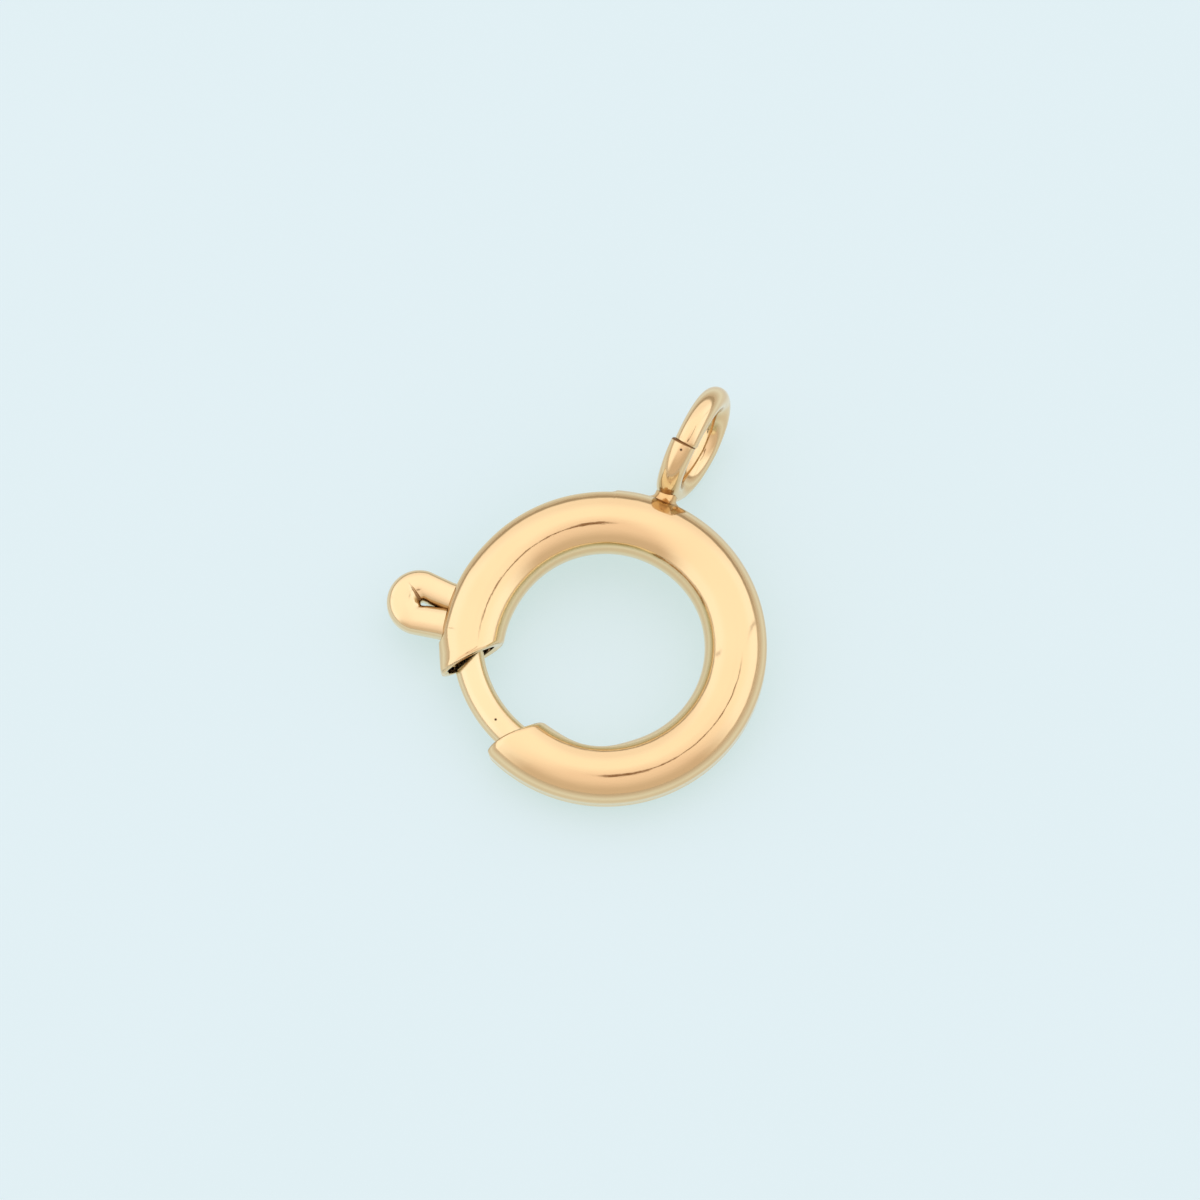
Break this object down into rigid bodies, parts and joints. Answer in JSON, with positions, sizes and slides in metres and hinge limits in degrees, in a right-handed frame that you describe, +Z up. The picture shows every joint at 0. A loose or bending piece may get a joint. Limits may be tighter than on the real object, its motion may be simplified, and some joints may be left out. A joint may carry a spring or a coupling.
{
  "type": "round spring ring clasp",
  "caption": "Round tube-ring clasp whose sprung wire bolt closes a gap, with a bent-wire trigger and a soldered eye for the chain.",
  "frame": {"origin": "centre of the ring, on the tube's middle plane", "axes": "+Y towards the eye, +Z up; the ring's own axis leans 5.06 degrees off +Z, because the clasp lies on its lower edge and its eye"},
  "size_m": [0.0143, 0.0167, 0.0047],
  "materials": {
    "gilded_tube": "polished gold plating on brass",
    "gilded_wire": "bright gold plating on brass wire",
    "spring_steel": "bare drawn spring wire"
  },
  "bodies": {
    "ring": {"ring_and_eye": "gilded_tube", "return_spring": "spring_steel"},
    "bolt": {"bolt": "gilded_wire"}
  },
  "joints": [
    {"name": "bolt_slide", "type": "hinge", "parent": "ring", "child": "bolt", "pos_m": [0, 0, 0], "axis": [0, 0.0882, -0.9961], "range_deg": [0, 66], "stiffness_Nm_per_rad": 0.0039, "deforming": ["return_spring"]}
  ]
}
